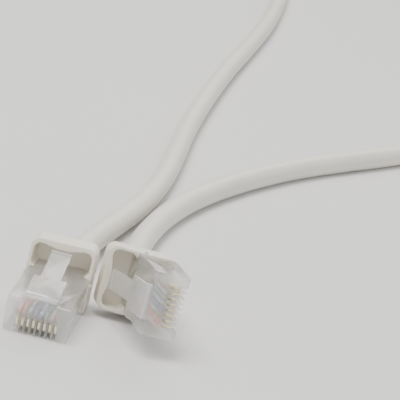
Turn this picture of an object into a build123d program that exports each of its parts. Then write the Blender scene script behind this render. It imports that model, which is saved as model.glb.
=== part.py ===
from build123d import *

import math
import os

# Ethernet patch cable: two clear eight-contact plugs in moulded boots, on one round cable.
# Units are millimetres and +Z is up from the surface that the cable lies on.
# Each plug is drawn in its own axes: X across the contacts, Y from the front face to the cable,
# Z from the contact side to the latch side, with its origin at the middle of the front lower edge.

# --- plug housing ---
POSITIONS = 8
PITCH = 1.016
PLUG_WIDTH = 11.68
FRONT_HEIGHT = 6.6
REAR_HEIGHT = 7.2
RAMP_START = 10.4
RAMP_END = 12.4
BODY_LENGTH = 15.4
TENON_LENGTH = 5.6
TENON_WIDTH = 10.8
TENON_LOW = 0.7
TENON_HIGH = 7.2
EDGE_CHAMFER = 0.45
NOSE_RADIUS = 1.1
RIB_SETBACK = 0.2
RIB_LIFT = 0.3
RIB_TOP = 2.7
RIB_TIP_WIDTH = 0.2
RIB_TAPER = 0.6
CONTACT_ZONE = 6.4
SLOT_WIDTH = 0.58
SLOT_TOP = 3.3
CABLE_AXIS_Z = 3.6
CUT_MARGIN = 1.0

# --- key on the front of the housing that carries the latch ---
KEY_WIDTH = 6.2
KEY_HEIGHT = 7.5
KEY_LENGTH = 1.3
KEY_RADIUS = 0.6
KEY_SUNK = 0.5
GROOVE_MARGIN = 0.4
PIVOT_Y = 1.9
PIVOT_Z = 6.85
PIVOT_RADIUS = 0.5
PIVOT_CLEARANCE = 0.05

# --- latch ---
LATCH_WIDTH = 6.2
TAB_WIDTH = 3.8
LATCH_ROOT_TOP = 7.7
LATCH_ROOT_FRONT = 0.35
LATCH_ROOT_BACK = 0.45
LATCH_ROOT_STEP = 0.2
LATCH_THICKNESS = 0.9
SHOULDER_THICKNESS = 1.05
SHOULDER_Y = 7.6
SHOULDER_TOP = 8.8
TAB_OVERLAP = 1.0
TAB_END_Y = 15.6
TAB_END_TOP = 11.0
TAB_RIDGE = 0.2
TAB_RIDGE_WIDTH = 0.6
TAB_RIDGE_SLOPE = 0.3

# --- contacts, wires and jacket ---
BLADE_THICKNESS = 0.42
BLADE_LOW = 1.0
BLADE_FRONT = 0.75
BLADE_LENGTH = 5.05
BLADE_SHOULDER = 3.1
BLADE_FRONT_CORNER = 0.45
BLADE_TOP_CORNER = 0.5
BLADE_HEEL = 0.6
TOOTH_TOP = 4.15
TOOTH_WIDTH = 0.9
TOOTH_POINT = 0.35
TOOTH_OFFSET = 1.35
WIRE_Z = 4.1
WIRE_START = 0.45
WIRE_STRAIGHT_END = 7.0
WIRE_BUNDLE_START = 13.2
WIRE_END = 15.6
WIRE_DIAMETER = 0.82
WIRE_CLEARANCE = 0.03
WIRE_END_GAP = 0.1
CORE_DIAMETER = 0.5
BUNDLE_SQUEEZE = 0.44
BUNDLE_ROW = 0.52
FAN_SIDE_GAP = 0.1
FAN_BELOW_AXIS = 1.4
FAN_ABOVE_WIRES = 0.75
CABLE_DIAMETER = 5.0
JACKET_BORE = 4.2
JACKET_START = 13.0

# --- strain relief bar pressed in behind the contacts ---
BAR_FRONT = 13.5
BAR_LENGTH = 1.7
BAR_WIDTH = 7.4
BAR_REACH = 1.0
BAR_HEIGHT = 1.6

# --- boot ---
BOOT_WIDTH = 12.0
BOOT_HEIGHT = 7.2
SLEEVE_END = 22.4
SLEEVE_CORNER = 0.8
SLEEVE_END_RADIUS = 1.4
HOOD_WIDTH = 12.3
HOOD_LOW = 5.6
HOOD_TOP = 12.4
HOOD_END = 21.2
HOOD_SIDE_WALL = 0.65
HOOD_CROWN_WALL = 0.9
HOOD_BACK_WALL = 1.2
HOOD_CORNER = 1.7
HOLLOW_CORNER = 1.2
HOOD_RAKE = 1.8
LUG_REACH = 0.35
LUG_LENGTH = 0.7
LUG_HEIGHT = 0.6
PRESS_PAD_LOW = 10.95
PRESS_PAD_RADIUS = 12.0
NECK_DIAMETER = 6.2
NECK_TIP_DIAMETER = 5.6
NECK_END = 29.0

# --- where the plugs lie ---
ORIGIN_SHIFT = (-9.8, -15.5)
PLUG_A_AT = (0.0, 0.0, 0.0)
PLUG_A_YAW = -4.5
PLUG_B_AT = (25.2, 3.2, 9.6)
PLUG_B_YAW = 13.2
PLUG_B_NOSE_UP = 9.8
PLUG_B_TURN = -84.4

# --- coil and tie ---
COIL_CENTRE = (68.0, 419.0)
COIL_MID_RADIUS = 28.5
TURN_SPACING = 5.2
TIE_THICKNESS = 0.8
TIE_ANGLE = 16.0
TIE_AT = 110.0

# --- route of the cable from each boot to the coil, before ORIGIN_SHIFT ---
STRAIGHT_OUT = 8.0
LEAD_A_ROUTE = [
    (4.3, 48.0, 2.9),
    (7.4, 61.0, 2.5),
    (11.4, 76.0, 2.5),
    (14.4, 95.0, 2.5),
    (16.0, 117.0, 2.5),
    (16.9, 143.0, 2.5),
    (19.7, 176.0, 2.5),
    (23.6, 211.0, 2.5),
    (29.0, 248.0, 2.5),
    (33.8, 286.0, 2.5),
    (36.3, 331.0, 2.5),
    (36.7, 375.0, 2.9),
    (36.9, 419.0, 3.3),
]
LEAD_B_ROUTE = [
    (13.6, 49.5, 2.6),
    (14.7, 61.0, 2.5),
    (17.2, 74.0, 2.5),
    (22.2, 90.0, 2.5),
    (31.8, 110.0, 2.5),
    (45.0, 131.0, 2.5),
    (61.5, 150.5, 2.5),
    (78.5, 170.5, 2.5),
    (88.5, 201.0, 2.5),
    (92.0, 243.0, 2.5),
    (95.0, 288.0, 2.5),
    (97.8, 333.0, 2.5),
    (99.3, 377.0, 4.2),
    (99.1, 419.0, 8.5),
]


def place(x, y, z=0.0):
    """A point of the layout, moved so that the origin is under the middle of the plugs."""
    return (x + ORIGIN_SHIFT[0], y + ORIGIN_SHIFT[1], z)


def block(x_low, x_high, y_low, y_high, z_low, z_high):
    """A box between two corners."""
    size = (x_high - x_low, y_high - y_low, z_high - z_low)
    return Pos(x_low, y_low, z_low) * Box(*size, align=(Align.MIN, Align.MIN, Align.MIN))


def side_profile(points, half_width):
    """A solid with an outline in the YZ plane, as wide as twice half_width."""
    outline = Polyline(*[(0, y, z) for y, z in points], close=True)
    return extrude(Face(Wire(outline.edges())), amount=half_width, dir=(1, 0, 0), both=True)


def rod(radius, y_low, y_high, x=0.0, z=0.0):
    """A cylinder along Y."""
    length = y_high - y_low
    turned = Rot(-90, 0, 0) * Cylinder(radius, length, align=(Align.CENTER, Align.CENTER, Align.MIN))
    return Pos(x, y_low, z) * turned


def across(index):
    """The X place of a contact, counted from 0."""
    return (index - (POSITIONS - 1) / 2) * PITCH


def tooth(start):
    """The upper outline of one piercing tooth, from its back foot to its front foot."""
    return [
        (start + TOOTH_WIDTH, BLADE_SHOULDER),
        (start + TOOTH_WIDTH, TOOTH_TOP - TOOTH_POINT),
        (start + TOOTH_WIDTH / 2, TOOTH_TOP),
        (start, TOOTH_TOP - TOOTH_POINT),
        (start, BLADE_SHOULDER),
    ]


def build_blade(index):
    """One gold contact: a thin blade with cut front corners and two piercing teeth."""
    back = BLADE_FRONT + BLADE_LENGTH
    rear_tooth = tooth(back - TOOTH_WIDTH)
    points = [
        (BLADE_FRONT + BLADE_FRONT_CORNER, BLADE_LOW),
        (back - BLADE_HEEL, BLADE_LOW),
        (back, BLADE_LOW + BLADE_HEEL),
        *rear_tooth[1:],
        *tooth(BLADE_FRONT + TOOTH_OFFSET),
        (BLADE_FRONT + BLADE_TOP_CORNER, BLADE_SHOULDER),
        (BLADE_FRONT, BLADE_SHOULDER - BLADE_TOP_CORNER),
        (BLADE_FRONT, BLADE_LOW + BLADE_FRONT_CORNER),
    ]
    return Pos(across(index), 0, 0) * side_profile(points, BLADE_THICKNESS / 2)


def wire_path(index):
    """The line of one wire: straight over its contact, then gathered into two rows in the jacket."""
    x = across(index)
    x_in = x * BUNDLE_SQUEEZE
    z_in = CABLE_AXIS_Z + (BUNDLE_ROW if index % 2 else -BUNDLE_ROW)
    middle = (WIRE_STRAIGHT_END + WIRE_BUNDLE_START) / 2
    run = Line((x, WIRE_START, WIRE_Z), (x, WIRE_STRAIGHT_END, WIRE_Z))
    gather = Bezier(
        (x, WIRE_STRAIGHT_END, WIRE_Z),
        (x, middle, WIRE_Z),
        (x_in, middle, z_in),
        (x_in, WIRE_BUNDLE_START, z_in),
    )
    tail = Line((x_in, WIRE_BUNDLE_START, z_in), (x_in, WIRE_END, z_in))
    return Wire([run.edge(), gather.edge(), tail.edge()])


def swept(path, diameter):
    """A round bar along a path."""
    section = Plane(origin=path @ 0, z_dir=path % 0) * Circle(diameter / 2)
    return sweep(section, path=path)


def build_wire(index, blade):
    """The insulation of one wire, with its contact's teeth cut in."""
    path = wire_path(index)
    return swept(path, WIRE_DIAMETER) - swept(path, CORE_DIAMETER) - blade


def build_core(index, blade):
    """The copper inside one wire, with its contact's teeth cut in."""
    return swept(wire_path(index), CORE_DIAMETER) - blade


def build_tenon(start):
    """The rear of the housing, or the socket for it in the boot, from a given Y."""
    end = BODY_LENGTH + TENON_LENGTH
    return block(-TENON_WIDTH / 2, TENON_WIDTH / 2, start, end, TENON_LOW, TENON_HIGH)


def build_shell():
    """The outside of the clear moulding: body, rear tenon and the key that carries the latch."""
    outline = [
        (0, 0),
        (BODY_LENGTH, 0),
        (BODY_LENGTH, REAR_HEIGHT),
        (RAMP_END, REAR_HEIGHT),
        (RAMP_START, FRONT_HEIGHT),
        (EDGE_CHAMFER, FRONT_HEIGHT),
        (0, FRONT_HEIGHT - EDGE_CHAMFER),
    ]
    body = side_profile(outline, PLUG_WIDTH / 2)
    nose_edge = body.edges().sort_by_distance((0, 0, 0))[0]
    body = fillet(nose_edge, NOSE_RADIUS)
    key_low = FRONT_HEIGHT - KEY_SUNK
    key = block(-KEY_WIDTH / 2, KEY_WIDTH / 2, 0, KEY_LENGTH, key_low, KEY_HEIGHT)
    key_edge = key.edges().sort_by_distance((0, 0, KEY_HEIGHT))[0]
    key = fillet(key_edge, KEY_RADIUS)
    return body + build_tenon(BODY_LENGTH) + key


def slot_mouth(x):
    """The flare at the open end of a contact slot, which leaves the ribs with thin tips."""
    wide = (PITCH - RIB_TIP_WIDTH) / 2
    narrow = SLOT_WIDTH / 2
    points = [
        (x - wide, -CUT_MARGIN, -CUT_MARGIN),
        (x + wide, -CUT_MARGIN, -CUT_MARGIN),
        (x + wide, -CUT_MARGIN, RIB_LIFT),
        (x + narrow, -CUT_MARGIN, RIB_LIFT + RIB_TAPER),
        (x - narrow, -CUT_MARGIN, RIB_LIFT + RIB_TAPER),
        (x - wide, -CUT_MARGIN, RIB_LIFT),
    ]
    outline = Polyline(*points, close=True)
    return extrude(Face(Wire(outline.edges())), amount=CONTACT_ZONE + CUT_MARGIN, dir=(0, 1, 0))


def build_housing(blades):
    """The clear moulding: ribs and slots for the contacts, wire channels, and a bore for the jacket."""
    body = build_shell()
    ribs_half = (POSITIONS / 2) * PITCH
    body -= block(-ribs_half, ribs_half, -CUT_MARGIN, CONTACT_ZONE, -CUT_MARGIN, RIB_LIFT)
    body -= block(-ribs_half, ribs_half, -CUT_MARGIN, RIB_SETBACK, -CUT_MARGIN, RIB_TOP)
    for index in range(POSITIONS):
        x = across(index)
        left = x - SLOT_WIDTH / 2
        right = x + SLOT_WIDTH / 2
        body -= block(left, right, -CUT_MARGIN, CONTACT_ZONE, -CUT_MARGIN, SLOT_TOP)
        body -= slot_mouth(x)
        body -= blades[index]
        channel_radius = WIRE_DIAMETER / 2 + WIRE_CLEARANCE
        body -= rod(channel_radius, WIRE_START - WIRE_END_GAP, WIRE_STRAIGHT_END, x, WIRE_Z)
    fan_half = ribs_half + FAN_SIDE_GAP
    fan_low = CABLE_AXIS_Z - FAN_BELOW_AXIS
    fan_high = WIRE_Z + FAN_ABOVE_WIRES
    body -= block(-fan_half, fan_half, WIRE_STRAIGHT_END, JACKET_START, fan_low, fan_high)
    bore_end = BODY_LENGTH + TENON_LENGTH + CUT_MARGIN
    body -= rod(CABLE_DIAMETER / 2, JACKET_START, bore_end, 0, CABLE_AXIS_Z)
    body -= build_bar()
    body -= rod_across(PIVOT_RADIUS + PIVOT_CLEARANCE, KEY_WIDTH + GROOVE_MARGIN)
    return body


def rod_across(radius, length):
    """A cylinder along X on the latch's hinge line."""
    return Pos(0, PIVOT_Y, PIVOT_Z) * (Rot(0, 90, 0) * Cylinder(radius, length))


def build_bar():
    """The bar that is pressed against the jacket from the contact side."""
    back = BAR_FRONT + BAR_LENGTH
    low = CABLE_AXIS_Z - CABLE_DIAMETER / 2 - BAR_REACH
    bar = block(-BAR_WIDTH / 2, BAR_WIDTH / 2, BAR_FRONT, back, low, low + BAR_HEIGHT)
    return bar - rod(CABLE_DIAMETER / 2, BAR_FRONT - CUT_MARGIN, back + CUT_MARGIN, 0, CABLE_AXIS_Z)


def build_latch():
    """The springy latch: a wide arm with two locking shoulders, then a narrow thumb tab."""
    root_front = PIVOT_Y - LATCH_ROOT_FRONT
    arm = side_profile(
        [
            (root_front, PIVOT_Z + LATCH_ROOT_STEP),
            (PIVOT_Y + LATCH_ROOT_BACK, PIVOT_Z),
            (SHOULDER_Y, SHOULDER_TOP - SHOULDER_THICKNESS),
            (SHOULDER_Y, SHOULDER_TOP),
            (PIVOT_Y + LATCH_ROOT_STEP, LATCH_ROOT_TOP),
            (root_front, LATCH_ROOT_TOP - LATCH_ROOT_FRONT),
        ],
        LATCH_WIDTH / 2,
    )
    slope = (TAB_END_TOP - SHOULDER_TOP) / (TAB_END_Y - SHOULDER_Y)
    tab_start = SHOULDER_Y - TAB_OVERLAP
    tab_start_top = SHOULDER_TOP - slope * TAB_OVERLAP
    ridge_foot = TAB_RIDGE_WIDTH + TAB_RIDGE_SLOPE
    tab = side_profile(
        [
            (tab_start, tab_start_top - LATCH_THICKNESS / 2),
            (tab_start, tab_start_top),
            (TAB_END_Y - ridge_foot, TAB_END_TOP - ridge_foot * slope),
            (TAB_END_Y - TAB_RIDGE_WIDTH, TAB_END_TOP + TAB_RIDGE),
            (TAB_END_Y, TAB_END_TOP + TAB_RIDGE),
            (TAB_END_Y, TAB_END_TOP - LATCH_THICKNESS),
            (SHOULDER_Y, SHOULDER_TOP - LATCH_THICKNESS),
        ],
        TAB_WIDTH / 2,
    )
    return rod_across(PIVOT_RADIUS, LATCH_WIDTH) + arm + tab


def build_jacket():
    """The end of the cable's jacket in the plug and boot, bored for the wires."""
    jacket = rod(CABLE_DIAMETER / 2, JACKET_START, NECK_END, 0, CABLE_AXIS_Z)
    return jacket - rod(JACKET_BORE / 2, JACKET_START - CUT_MARGIN, WIRE_END, 0, CABLE_AXIS_Z)


def arch_face(half_width, low, top, corner):
    """An upright rectangle in the XZ plane with its two top corners rounded."""
    with BuildSketch(Plane.XZ) as sketch:
        with Locations((0, (low + top) / 2)):
            Rectangle(2 * half_width, top - low)
        upper = sketch.vertices().group_by(Axis.Z)[-1]
        fillet(upper, corner)
    return sketch.sketch


def arch(half_width, low, top, corner, y_low, y_high):
    """The arch face, drawn out along Y."""
    return Pos(0, y_low, 0) * extrude(arch_face(half_width, low, top, corner), amount=-(y_high - y_low))


def build_hood():
    """The hollow arch over the latch's tab, open at the front, with a leaning front edge."""
    hood = arch(HOOD_WIDTH / 2, HOOD_LOW, HOOD_TOP, HOOD_CORNER, BODY_LENGTH, HOOD_END)
    hollow_half = HOOD_WIDTH / 2 - HOOD_SIDE_WALL
    hollow_top = HOOD_TOP - HOOD_CROWN_WALL
    hollow_end = HOOD_END - HOOD_BACK_WALL
    before = BODY_LENGTH - CUT_MARGIN
    hollow = arch(hollow_half, BOOT_HEIGHT, hollow_top, HOLLOW_CORNER, before, hollow_end)
    hollow -= rod(PRESS_PAD_RADIUS, before, hollow_end, 0, PRESS_PAD_LOW + PRESS_PAD_RADIUS)
    lean = side_profile(
        [
            (before, BOOT_HEIGHT),
            (BODY_LENGTH, BOOT_HEIGHT),
            (BODY_LENGTH + HOOD_RAKE, HOOD_TOP),
            (BODY_LENGTH + HOOD_RAKE, HOOD_TOP + CUT_MARGIN),
            (before, HOOD_TOP + CUT_MARGIN),
        ],
        HOOD_WIDTH,
    )
    lug_half = HOOD_WIDTH / 2 + LUG_REACH
    lug_end = BODY_LENGTH + LUG_LENGTH
    lugs = block(-lug_half, lug_half, BODY_LENGTH, lug_end, HOOD_LOW, HOOD_LOW + LUG_HEIGHT)
    return hood + lugs - hollow - lean


def build_neck():
    """The tapered round end of the boot, started inside the sleeve."""
    start = SLEEVE_END - CUT_MARGIN
    neck = Cone(
        NECK_DIAMETER / 2,
        NECK_TIP_DIAMETER / 2,
        NECK_END - start,
        align=(Align.CENTER, Align.CENTER, Align.MIN),
    )
    return Pos(0, start, CABLE_AXIS_Z) * (Rot(-90, 0, 0) * neck)


def build_boot():
    """The moulded boot: a sleeve on the housing, a hood over the latch's tab, and a tapered neck."""
    before = BODY_LENGTH - CUT_MARGIN
    sleeve = arch(BOOT_WIDTH / 2, 0, BOOT_HEIGHT, SLEEVE_CORNER, BODY_LENGTH, SLEEVE_END)
    sleeve = fillet(sleeve.faces().sort_by(Axis.Y)[-1].edges(), SLEEVE_END_RADIUS)
    boot = sleeve + build_hood() + build_neck()
    boot -= rod(CABLE_DIAMETER / 2, before, NECK_END + CUT_MARGIN, 0, CABLE_AXIS_Z)
    return boot - build_tenon(before)


def build_plug():
    """Every piece of one plug, in the plug's own axes, by name."""
    blades = [build_blade(index) for index in range(POSITIONS)]
    housing = build_housing(blades)
    pieces = {
        "housing": housing,
        "latch": build_latch(),
        "strain_bar": build_bar(),
        "jacket_end": build_jacket(),
        "boot": build_boot(),
    }
    for index, blade in enumerate(blades):
        pieces[f"contact_{index + 1}"] = blade
        pieces[f"wire_{index + 1}"] = build_wire(index, blade)
    pieces["cores"] = Compound([build_core(index, blades[index]) for index in range(POSITIONS)])
    return pieces


def plug_location(at, yaw, nose_up, turn):
    """Where a plug lies: turned about its own length, then its nose lifted, then turned on the surface."""
    return Pos(*place(*at)) * Rot(0, 0, yaw) * Rot(-nose_up, 0, 0) * Rot(0, turn, 0)


def neck_end(location):
    """The middle of the boot's end face and a unit vector straight out of it."""
    end = location * Vertex(0, NECK_END, CABLE_AXIS_Z)
    inside = location * Vertex(0, NECK_END - 1, CABLE_AXIS_Z)
    return end.center(), end.center() - inside.center()


def bend_radii(points):
    """The radius for each inner corner: 0.45 of the shorter run, over the tangent of half the turn."""
    radii = []
    for before, corner, after in zip(points, points[1:], points[2:]):
        run_in = Vector(*corner) - Vector(*before)
        run_out = Vector(*after) - Vector(*corner)
        turn = math.radians(run_in.get_angle(run_out))
        shorter = min(run_in.length, run_out.length)
        radii.append(0.45 * shorter / math.tan(turn / 2))
    return radii


def build_lead(name, start, heading, route):
    """A length of cable from a boot's end face to the coil, as straight runs with tangent arcs."""
    first_bend = start + heading * STRAIGHT_OUT
    points = [tuple(start), tuple(first_bend)] + [place(*point) for point in route]
    radii = bend_radii(points)
    path = FilletPolyline(*points, radius=radii)
    print(name, "length", round(path.length, 1), "radii", [round(radius) for radius in radii])
    return swept(Wire(path.edges()), CABLE_DIAMETER)


def coil_section(grow):
    """The outline of the coil's bundle of turns, two wide and two high, grown by a margin."""
    width = TURN_SPACING + CABLE_DIAMETER + 2 * grow
    middle = TIE_THICKNESS + (TURN_SPACING + CABLE_DIAMETER) / 2
    with BuildSketch(Plane.XZ) as sketch:
        with Locations((COIL_MID_RADIUS, middle)):
            RectangleRounded(width, width, CABLE_DIAMETER / 2 + grow - 0.01)
    return sketch.sketch


def build_coil():
    """The outer shape of the cable that is wound up."""
    return Pos(*place(*COIL_CENTRE)) * revolve(coil_section(0), Axis.Z, 360)


def build_tie():
    """A band round the coil's turns."""
    band = coil_section(TIE_THICKNESS) - coil_section(0)
    turned = Rot(0, 0, TIE_AT) * revolve(band, Axis.Z, TIE_ANGLE)
    return Pos(*place(*COIL_CENTRE)) * turned


def main():
    """Build every piece and write one file for each."""
    os.makedirs("parts", exist_ok=True)
    locations = {
        "a": plug_location(PLUG_A_AT, PLUG_A_YAW, 0, 0),
        "b": plug_location(PLUG_B_AT, PLUG_B_YAW, PLUG_B_NOSE_UP, PLUG_B_TURN),
    }
    plug = build_plug()
    shapes = {}
    for side, location in locations.items():
        for name, piece in plug.items():
            shapes[f"{name}_{side}"] = location * piece
    print("plugs", Compound(list(shapes.values())).bounding_box())
    for side, route in (("a", LEAD_A_ROUTE), ("b", LEAD_B_ROUTE)):
        start, heading = neck_end(locations[side])
        print("start", side, start, "heading", heading)
        shapes[f"cable_{side}"] = build_lead(f"cable_{side}", start, heading, route)
    shapes["cable_coil"] = build_coil()
    shapes["coil_tie"] = build_tie()
    for name, shape in shapes.items():
        export_step(shape, f"parts/{name}.step")


main()
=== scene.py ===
import math

import bmesh
import bpy
from mathutils import Matrix, Vector


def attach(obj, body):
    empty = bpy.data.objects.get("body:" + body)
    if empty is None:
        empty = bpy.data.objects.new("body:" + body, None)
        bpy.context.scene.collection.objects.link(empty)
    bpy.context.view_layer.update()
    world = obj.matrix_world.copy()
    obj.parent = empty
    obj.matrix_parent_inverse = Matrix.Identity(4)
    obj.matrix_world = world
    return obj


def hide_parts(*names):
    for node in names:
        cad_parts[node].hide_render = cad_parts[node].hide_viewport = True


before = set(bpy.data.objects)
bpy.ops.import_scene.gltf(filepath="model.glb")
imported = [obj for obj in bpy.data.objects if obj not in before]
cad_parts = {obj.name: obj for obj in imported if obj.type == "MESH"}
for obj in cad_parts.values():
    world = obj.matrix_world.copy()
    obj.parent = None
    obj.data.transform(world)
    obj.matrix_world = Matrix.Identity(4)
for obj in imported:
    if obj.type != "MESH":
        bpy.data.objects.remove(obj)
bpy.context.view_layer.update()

# Ethernet patch cable: two clear plugs in hooded boots on one round cable. Metres, +Z up.

MM = 0.001

# --- camera ---
CAMERA_AT = (14.1 * MM, -344.6 * MM, 136.8 * MM)
CAMERA_DOWN = math.radians(17.74)
CAMERA_ROLL = math.radians(-12.06)
CAMERA_LENS = 180.0
CAMERA_SENSOR = 36.0
CAMERA_NEAR = 10 * MM

# --- cable: metres ---
CABLE_DIAMETER = 5.0 * MM
CABLE_SMOOTHNESS = 8

# --- coil: millimetres and degrees. It moves in, up and out again between pairs of angles turned ---
COIL_CENTRE = (58.2, 403.5)
COIL_INNER = 25.9
COIL_OUTER = 31.1
COIL_LOW = 3.3
COIL_HIGH = 8.5
COIL_START = 180.0
COIL_TURNING = 1260.0
COIL_INWARD = (300, 360)
COIL_CLIMB = (600, 660)
COIL_OUTWARD = (900, 960)
POINTS_PER_TURN = 18

# --- strap, and the bundle of turns it holds: millimetres and degrees ---
STRAP_AT = 118.0
STRAP_WIDTH = 8.0
STRAP_THICKNESS = 0.8
STRAP_CORNER = 2.9
STRAP_OVERLAP = 9.0
STRAP_STEP = 3.0
STRAP_SOFTNESS = 0.6
STRAP_RINGS = 120
BUNDLE_MIDDLE = 28.5
BUNDLE_HEIGHT = 5.9
BUNDLE_HALF = 5.1

# --- skins over the CAD shapes ---
HOUSING_EDGE = 0.1 * MM
LATCH_EDGE = 0.12 * MM
SHARP_ANGLE = math.radians(35)
FLAT_ANGLE = math.radians(2)
SAME_POINT = 0.001 * MM
WELD_WITHIN = 0.002 * MM
BOOT_VOXEL = 0.13 * MM
BOOT_SMOOTHING = 4

# --- colours ---
CLEAR = (1.0, 1.0, 0.99)
FROSTED = (0.97, 0.955, 0.92)
BOOT_GREY = (0.85, 0.81, 0.705)
JACKET_GREY = (0.76, 0.74, 0.675)
GOLD_DULL, GOLD_BRIGHT = (0.90, 0.80, 0.50), (1.0, 0.93, 0.70)
COPPER_DULL, COPPER_BRIGHT = (0.50, 0.24, 0.12), (0.82, 0.47, 0.28)
FLOOR_DARK, FLOOR_PALE = (0.70, 0.70, 0.71), (0.73, 0.73, 0.74)
STRAP_WARP, STRAP_WEFT = (0.035, 0.035, 0.04), (0.015, 0.015, 0.018)
WIRE_COLOURS = [
    ("white orange", (0.92, 0.80, 0.72), (0.90, 0.22, 0.08)),
    ("orange", (0.90, 0.16, 0.06), (0.82, 0.13, 0.05)),
    ("white green", (0.86, 0.90, 0.86), (0.06, 0.46, 0.32)),
    ("blue", (0.10, 0.18, 0.55), (0.08, 0.15, 0.48)),
    ("white blue", (0.86, 0.88, 0.92), (0.10, 0.20, 0.60)),
    ("green", (0.04, 0.42, 0.30), (0.03, 0.36, 0.26)),
    ("white brown", (0.88, 0.84, 0.78), (0.34, 0.18, 0.09)),
    ("brown", (0.26, 0.13, 0.07), (0.22, 0.10, 0.05)),
]

# --- light: name, place, size, power and colour of each lamp ---
LIGHTS = [
    ("key", (-0.2, -0.05, 0.85), 0.5, 8.5, (1.0, 0.98, 0.94)),
    ("fill", (0.55, -0.45, 0.4), 0.5, 1.2, (1.0, 0.98, 0.95)),
    ("back", (0.15, 0.8, 0.55), 0.6, 3.5, (1.0, 0.98, 0.95)),
]
LIGHT_TARGET = (0.0, 0.03, 0.0)
SURROUND_COLOUR = (0.90, 0.88, 0.86)
SURROUND_STRENGTH = 0.75
FLOOR_SIZE = 6.0

# --- route: millimetres, from each boot's end to the coil ---
LEAD_A = [
    (-7.52, 13.41, 3.6),
    (-6.90, 21.39, 3.6),
    (-5.5, 32.5, 2.9),
    (-2.4, 45.5, 2.5),
    (1.6, 60.5, 2.5),
    (4.6, 79.5, 2.5),
    (6.2, 101.5, 2.5),
    (7.1, 127.5, 2.5),
    (9.9, 160.5, 2.5),
    (13.8, 195.5, 2.5),
    (19.2, 232.5, 2.5),
    (24.0, 270.5, 2.5),
    (26.5, 315.5, 2.5),
    (26.9, 359.5, 2.9),
]
LEAD_B = [
    (5.37, 14.76, 5.01),
    (3.57, 22.44, 3.65),
    (3.8, 34.0, 2.6),
    (4.9, 45.5, 2.5),
    (7.4, 58.5, 2.5),
    (12.4, 74.5, 2.5),
    (22.0, 94.5, 2.5),
    (35.2, 115.5, 2.5),
    (51.7, 135.0, 2.5),
    (68.7, 155.0, 2.5),
    (78.7, 185.5, 2.5),
    (82.2, 227.5, 2.5),
    (85.2, 272.5, 2.5),
    (88.0, 317.5, 2.5),
    (89.5, 361.5, 4.2),
]


def ease(value, start, end):
    """0 before start, 1 after end, and a smooth rise between."""
    share = min(max((value - start) / (end - start), 0.0), 1.0)
    return share * share * (3 - 2 * share)


def coil_points():
    """Three and a half turns: outer low, inner low, inner high, then outer high."""
    points = []
    steps = round(POINTS_PER_TURN * COIL_TURNING / 360)
    swell = 1 / math.cos(math.pi / POINTS_PER_TURN)
    for step in range(steps + 1):
        turned = COIL_TURNING * step / steps
        inward = ease(turned, *COIL_INWARD) - ease(turned, *COIL_OUTWARD)
        radius = (COIL_OUTER + (COIL_INNER - COIL_OUTER) * inward) * swell
        height = COIL_LOW + (COIL_HIGH - COIL_LOW) * ease(turned, *COIL_CLIMB)
        angle = math.radians(COIL_START - turned)
        x = COIL_CENTRE[0] + radius * math.cos(angle)
        y = COIL_CENTRE[1] + radius * math.sin(angle)
        points.append((x, y, height))
    return points


def build_camera():
    """The photograph's view: a long lens, looking down a little and rolled."""
    down, roll = CAMERA_DOWN, CAMERA_ROLL
    forward = Vector((0, math.cos(down), -math.sin(down)))
    level_right = Vector((1, 0, 0))
    level_up = level_right.cross(forward)
    right = math.cos(roll) * level_right - math.sin(roll) * level_up
    up = math.sin(roll) * level_right + math.cos(roll) * level_up
    turn = Matrix((right, up, -forward)).transposed()
    data = bpy.data.cameras.new("camera")
    data.lens = CAMERA_LENS
    data.sensor_width = CAMERA_SENSOR
    data.clip_start = CAMERA_NEAR
    camera = bpy.data.objects.new("camera", data)
    camera.matrix_world = Matrix.Translation(CAMERA_AT) @ turn.to_4x4()
    bpy.context.scene.collection.objects.link(camera)
    bpy.context.scene.camera = camera


def add_area_light(name, at, size, power, colour):
    """A soft square light aimed at the plugs."""
    data = bpy.data.lights.new(name, "AREA")
    data.size = size
    data.energy = power
    data.color = colour
    light = bpy.data.objects.new(name, data)
    light.location = at
    aim = Vector(LIGHT_TARGET) - Vector(at)
    light.rotation_euler = aim.to_track_quat("-Z", "Y").to_euler()
    bpy.context.scene.collection.objects.link(light)


def set_inputs(node, values):
    """Several of a shader node's inputs at once."""
    for key, value in values.items():
        node.inputs[key].default_value = value


def new_material(name):
    """A material and its Principled shader."""
    material = bpy.data.materials.new(name)
    material.use_nodes = True
    return material, material.node_tree.nodes["Principled BSDF"]


def add_node(material, kind, **inputs):
    """A shader node with some of its inputs set."""
    node = material.node_tree.nodes.new(kind)
    set_inputs(node, inputs)
    return node


def join(material, source, target):
    """A link from one socket to another."""
    material.node_tree.links.new(source, target)


def add_noise(material, scale, detail=3.0):
    """Noise over the object's own coordinates."""
    coordinates = material.node_tree.nodes.new("ShaderNodeTexCoord")
    noise = add_node(material, "ShaderNodeTexNoise", Scale=scale, Detail=detail)
    join(material, coordinates.outputs["Object"], noise.inputs["Vector"])
    return noise


def add_bump(material, shader, height, strength, distance):
    """A bump from a height socket."""
    bump = add_node(material, "ShaderNodeBump", Strength=strength, Distance=distance)
    join(material, height, bump.inputs["Height"])
    join(material, bump.outputs["Normal"], shader.inputs["Normal"])


def add_ramp(material, value, low, high, first=0.3, last=0.7):
    """A blend between two colours, driven by a value."""
    ramp = material.node_tree.nodes.new("ShaderNodeValToRGB")
    ramp.color_ramp.elements[0].position = first
    ramp.color_ramp.elements[1].position = last
    ramp.color_ramp.elements[0].color = (*low, 1)
    ramp.color_ramp.elements[1].color = (*high, 1)
    join(material, value, ramp.inputs["Fac"])
    return ramp.outputs["Color"]


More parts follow.
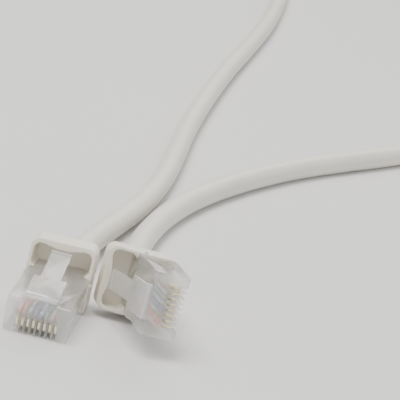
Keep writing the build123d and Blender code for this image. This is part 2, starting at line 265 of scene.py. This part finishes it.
def vary_surface(material, shader, noise, colour, darkest, roughness, spread):
    """Noise that darkens the colour a little and varies the roughness each way by the spread."""
    darker = tuple(darkest * part for part in colour)
    tone = add_ramp(material, noise.outputs["Fac"], darker, colour)
    join(material, tone, shader.inputs["Base Color"])
    rough = add_node(material, "ShaderNodeMapRange")
    set_inputs(rough, {"To Min": roughness - spread, "To Max": roughness + spread})
    join(material, noise.outputs["Fac"], rough.inputs["Value"])
    join(material, rough.outputs["Result"], shader.inputs["Roughness"])


def soft_plastic(name, colour, roughness, grain, depth):
    """A satin moulded or extruded plastic with faint mottling and fine grain."""
    material, shader = new_material(name)
    mottle = add_noise(material, scale=90.0, detail=4.0)
    vary_surface(material, shader, mottle, colour, darkest=0.93, roughness=roughness, spread=0.06)
    fine = add_noise(material, scale=grain, detail=5.0)
    add_bump(material, shader, fine.outputs["Fac"], strength=0.25, distance=depth)
    set_inputs(shader, {
        "Specular IOR Level": 0.45,
        "Subsurface Weight": 0.08,
        "Subsurface Radius": (0.0012, 0.0010, 0.0008),
        "Subsurface Scale": 1.0,
    })
    return material


def clear_plastic(name, colour, transmission, roughness, body, milk):
    """Clear moulded polycarbonate with faint flow marks. Body is its opacity, milk its inner scatter."""
    material, shader = new_material(name)
    flow = add_noise(material, scale=260.0)
    vary_surface(material, shader, flow, colour, darkest=0.97, roughness=roughness, spread=0.04)
    set_inputs(shader, {
        "Transmission Weight": transmission,
        "Alpha": body,
        "Subsurface Weight": milk,
        "Subsurface Radius": (0.003, 0.003, 0.003),
        "Subsurface Scale": 1.0,
        "IOR": 1.45,
        "Coat Weight": 1.0,
        "Coat Roughness": 0.05,
    })
    add_bump(material, shader, flow.outputs["Fac"], strength=0.12, distance=0.06 * MM)
    return material


def gold_plate():
    """Thin gold plating with fine rubbed lines."""
    material, shader = new_material("gold plate")
    rubbed = add_noise(material, scale=3000.0, detail=4.0)
    colour = add_ramp(material, rubbed.outputs["Fac"], GOLD_DULL, GOLD_BRIGHT)
    join(material, colour, shader.inputs["Base Color"])
    set_inputs(shader, {"Metallic": 0.7, "Roughness": 0.3})
    add_bump(material, shader, rubbed.outputs["Fac"], strength=0.15, distance=0.01 * MM)
    return material


def copper():
    """Bare copper, a little dulled."""
    material, shader = new_material("copper")
    dulled = add_noise(material, scale=2500.0, detail=4.0)
    colour = add_ramp(material, dulled.outputs["Fac"], COPPER_DULL, COPPER_BRIGHT)
    join(material, colour, shader.inputs["Base Color"])
    set_inputs(shader, {"Metallic": 1.0, "Roughness": 0.35})
    return material


def wire_insulation(name, base, mark):
    """Coloured insulation. The mark's rings show on a pale wire and are close to a plain wire's base."""
    material, shader = new_material(f"wire {name}")
    coordinates = material.node_tree.nodes.new("ShaderNodeTexCoord")
    rings = add_node(material, "ShaderNodeTexWave", Scale=180.0, Distortion=0.6)
    rings.bands_direction = "Y"
    join(material, coordinates.outputs["Object"], rings.inputs["Vector"])
    colour = add_ramp(material, rings.outputs["Fac"], base, mark, first=0.55, last=0.65)
    join(material, colour, shader.inputs["Base Color"])
    shader.inputs["Roughness"].default_value = 0.38
    fine = add_noise(material, scale=2000.0)
    add_bump(material, shader, fine.outputs["Fac"], strength=0.1, distance=0.01 * MM)
    return material


def strap_weave():
    """A dark woven strap."""
    material, shader = new_material("strap weave")
    coordinates = material.node_tree.nodes.new("ShaderNodeTexCoord")
    weave = add_node(material, "ShaderNodeTexChecker", Scale=2200.0)
    set_inputs(weave, {"Color1": (*STRAP_WARP, 1), "Color2": (*STRAP_WEFT, 1)})
    join(material, coordinates.outputs["Object"], weave.inputs["Vector"])
    join(material, weave.outputs["Color"], shader.inputs["Base Color"])
    set_inputs(shader, {"Roughness": 0.9, "Sheen Weight": 0.3})
    add_bump(material, shader, weave.outputs["Fac"], strength=0.6, distance=0.1 * MM)
    return material


def paint(obj, material):
    """Gives an object one material."""
    obj.data.materials.clear()
    obj.data.materials.append(material)


def copy_of(node, name):
    """A new object with a CAD node's shape, its flat faces merged so that its edges can be rounded."""
    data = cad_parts[node].data.copy()
    shape = bmesh.new()
    shape.from_mesh(data)
    bmesh.ops.remove_doubles(shape, verts=shape.verts, dist=SAME_POINT)
    bmesh.ops.dissolve_limit(shape, angle_limit=FLAT_ANGLE, verts=shape.verts, edges=shape.edges)
    shape.to_mesh(data)
    shape.free()
    piece = bpy.data.objects.new(name, data)
    bpy.context.scene.collection.objects.link(piece)
    return piece


def round_edges(piece, width):
    """Small moulding radii on a piece's sharp edges, with folded slivers closed up."""
    bevel = piece.modifiers.new("edges", "BEVEL")
    bevel.width = width
    bevel.segments = 2
    bevel.limit_method = "ANGLE"
    bevel.angle_limit = SHARP_ANGLE
    bevel.harden_normals = True
    weld = piece.modifiers.new("join", "WELD")
    weld.merge_threshold = WELD_WITHIN
    piece.data.shade_smooth()


def remould(piece):
    """A softly rounded skin over a piece, as soft plastic comes out of a mould."""
    remesh = piece.modifiers.new("skin", "REMESH")
    remesh.mode = "VOXEL"
    remesh.voxel_size = BOOT_VOXEL
    remesh.use_smooth_shade = True
    smooth = piece.modifiers.new("soften", "SMOOTH")
    smooth.factor = 0.5
    smooth.iterations = BOOT_SMOOTHING


def build_cable(jacket):
    """The whole cable from boot to boot as one smooth line, with its spare length in the coil."""
    route = LEAD_A + coil_points() + LEAD_B[::-1]
    data = bpy.data.curves.new("cable", "CURVE")
    data.dimensions = "3D"
    spline = data.splines.new("NURBS")
    spline.points.add(len(route) - 1)
    for point, place in zip(spline.points, route):
        point.co = (*(part * MM for part in place), 1.0)
    spline.order_u = 3
    spline.use_endpoint_u = True
    spline.resolution_u = CABLE_SMOOTHNESS
    data.bevel_depth = CABLE_DIAMETER / 2
    data.bevel_resolution = CABLE_SMOOTHNESS
    data.use_fill_caps = True
    cable = bpy.data.objects.new("cable", data)
    bpy.context.scene.collection.objects.link(cable)
    data.materials.append(jacket)
    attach(cable, "root")
    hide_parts("cable_a", "cable_b", "cable_coil")
    return cable


def loop_point(travelled, half, corner):
    """A point and outward direction on a rounded square, from the middle of its top, turning inwards."""
    straight = 2 * (half - corner)
    arc = corner * math.pi / 2
    side, along = divmod(travelled + straight / 2, straight + arc)
    if along <= straight:
        local = (along - straight / 2, half)
        lean = 0.0
    else:
        lean = (along - straight) / corner
        local = (half - corner + corner * math.sin(lean), half - corner + corner * math.cos(lean))
    turn = side * math.pi / 2
    outward = (math.sin(lean + turn), math.cos(lean + turn))
    x = local[0] * math.cos(turn) + local[1] * math.sin(turn)
    z = local[1] * math.cos(turn) - local[0] * math.sin(turn)
    return (x, z), outward


def strap_section():
    """The strap's cut end, across its width and thickness, with softened edges."""
    half_width, half_thick = STRAP_WIDTH / 2, STRAP_THICKNESS / 2
    soft = half_thick * STRAP_SOFTNESS
    return [
        (-half_width + soft, -half_thick),
        (0, -half_thick),
        (half_width - soft, -half_thick),
        (half_width, -half_thick + soft),
        (half_width, half_thick - soft),
        (half_width - soft, half_thick),
        (0, half_thick),
        (-half_width + soft, half_thick),
        (-half_width, half_thick - soft),
        (-half_width, -half_thick + soft),
    ]


def build_strap(material):
    """A woven strap once round the coil's turns, its end laid over its start on the top."""
    half = BUNDLE_HALF + STRAP_THICKNESS / 2
    loop = 8 * (half - STRAP_CORNER) + 2 * math.pi * STRAP_CORNER
    total = loop + STRAP_OVERLAP
    angle = math.radians(STRAP_AT)
    outwards = Vector((math.cos(angle), math.sin(angle), 0))
    sideways = Vector((-math.sin(angle), math.cos(angle), 0))
    middle = Vector((*COIL_CENTRE, BUNDLE_HEIGHT)) + BUNDLE_MIDDLE * outwards
    shape = bmesh.new()
    rings = []
    for step in range(STRAP_RINGS + 1):
        travelled = total * step / STRAP_RINGS
        (x, z), (out_x, out_z) = loop_point(travelled - STRAP_OVERLAP / 2, half, STRAP_CORNER)
        lift = STRAP_THICKNESS * ease(travelled, loop - STRAP_STEP, loop)
        normal = out_x * -outwards + out_z * Vector((0, 0, 1))
        centre = middle - x * outwards + Vector((0, 0, z)) + lift * normal
        ring = [shape.verts.new((centre + u * sideways + v * normal) * MM) for u, v in strap_section()]
        rings.append(ring)
    for before, after in zip(rings, rings[1:]):
        for index in range(len(before)):
            follow = (index + 1) % len(before)
            shape.faces.new((before[index], before[follow], after[follow], after[index]))
    shape.faces.new(rings[0])
    shape.faces.new(rings[-1])
    bmesh.ops.recalc_face_normals(shape, faces=shape.faces)
    data = bpy.data.meshes.new("strap")
    shape.to_mesh(data)
    shape.free()
    strap = bpy.data.objects.new("strap", data)
    bpy.context.scene.collection.objects.link(strap)
    data.shade_smooth()
    paint(strap, material)
    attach(strap, "root")
    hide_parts("coil_tie")
    return strap


def build_floor():
    """A plain pale surface."""
    bpy.ops.mesh.primitive_plane_add(size=FLOOR_SIZE, location=(0, 0, 0))
    floor = bpy.context.object
    floor.name = "floor"
    material, shader = new_material("floor")
    tone = add_noise(material, scale=6.0)
    colour = add_ramp(material, tone.outputs["Fac"], FLOOR_DARK, FLOOR_PALE)
    join(material, colour, shader.inputs["Base Color"])
    shader.inputs["Roughness"].default_value = 0.85
    paint(floor, material)


def build_light():
    """Soft light from above, from the front right and from behind, with a pale surround."""
    for light in LIGHTS:
        add_area_light(*light)
    world = bpy.data.worlds.new("surround")
    world.use_nodes = True
    background = world.node_tree.nodes["Background"]
    background.inputs["Color"].default_value = (*SURROUND_COLOUR, 1)
    background.inputs["Strength"].default_value = SURROUND_STRENGTH
    bpy.context.scene.world = world


def dress_plug(side, materials):
    """The rounded skins and the materials of one plug."""
    housing = copy_of(f"housing_{side}", f"clear_body_{side}")
    round_edges(housing, HOUSING_EDGE)
    paint(housing, materials["clear"])
    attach(housing, "root")
    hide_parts(f"housing_{side}")
    latch = copy_of(f"latch_{side}", f"latch_arm_{side}")
    round_edges(latch, LATCH_EDGE)
    paint(latch, materials["latch"])
    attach(latch, f"latch_{side}")
    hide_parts(f"latch_{side}")
    boot = copy_of(f"boot_{side}", f"hooded_boot_{side}")
    remould(boot)
    paint(boot, materials["boot"])
    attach(boot, "root")
    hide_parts(f"boot_{side}")
    paint(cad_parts[f"strain_bar_{side}"], materials["clear"])
    paint(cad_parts[f"jacket_end_{side}"], materials["jacket"])
    paint(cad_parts[f"cores_{side}"], materials["copper"])
    for place, (name, _, _) in enumerate(WIRE_COLOURS, 1):
        paint(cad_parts[f"contact_{place}_{side}"], materials["gold"])
        paint(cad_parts[f"wire_{place}_{side}"], materials[name])


def build_materials():
    """Every material by a short name, and each wire's by its colour."""
    materials = {
        "clear": clear_plastic(
            "clear polycarbonate", CLEAR, transmission=0.4, roughness=0.08, body=0.43, milk=0.7
        ),
        "latch": clear_plastic(
            "frosted polycarbonate", FROSTED, transmission=0.6, roughness=0.06, body=0.68, milk=0.4
        ),
        "boot": soft_plastic("boot plastic", BOOT_GREY, roughness=0.48, grain=1800.0, depth=0.03 * MM),
        "jacket": soft_plastic("cable jacket", JACKET_GREY, roughness=0.42, grain=1400.0, depth=0.02 * MM),
        "gold": gold_plate(),
        "copper": copper(),
    }
    for name, base, mark in WIRE_COLOURS:
        materials[name] = wire_insulation(name, base, mark)
    return materials


def main():
    """The whole scene."""
    build_camera()
    materials = build_materials()
    cable = build_cable(materials["jacket"])
    for side in "ab":
        dress_plug(side, materials)
    strap = build_strap(strap_weave())
    build_floor()
    build_light()


main()
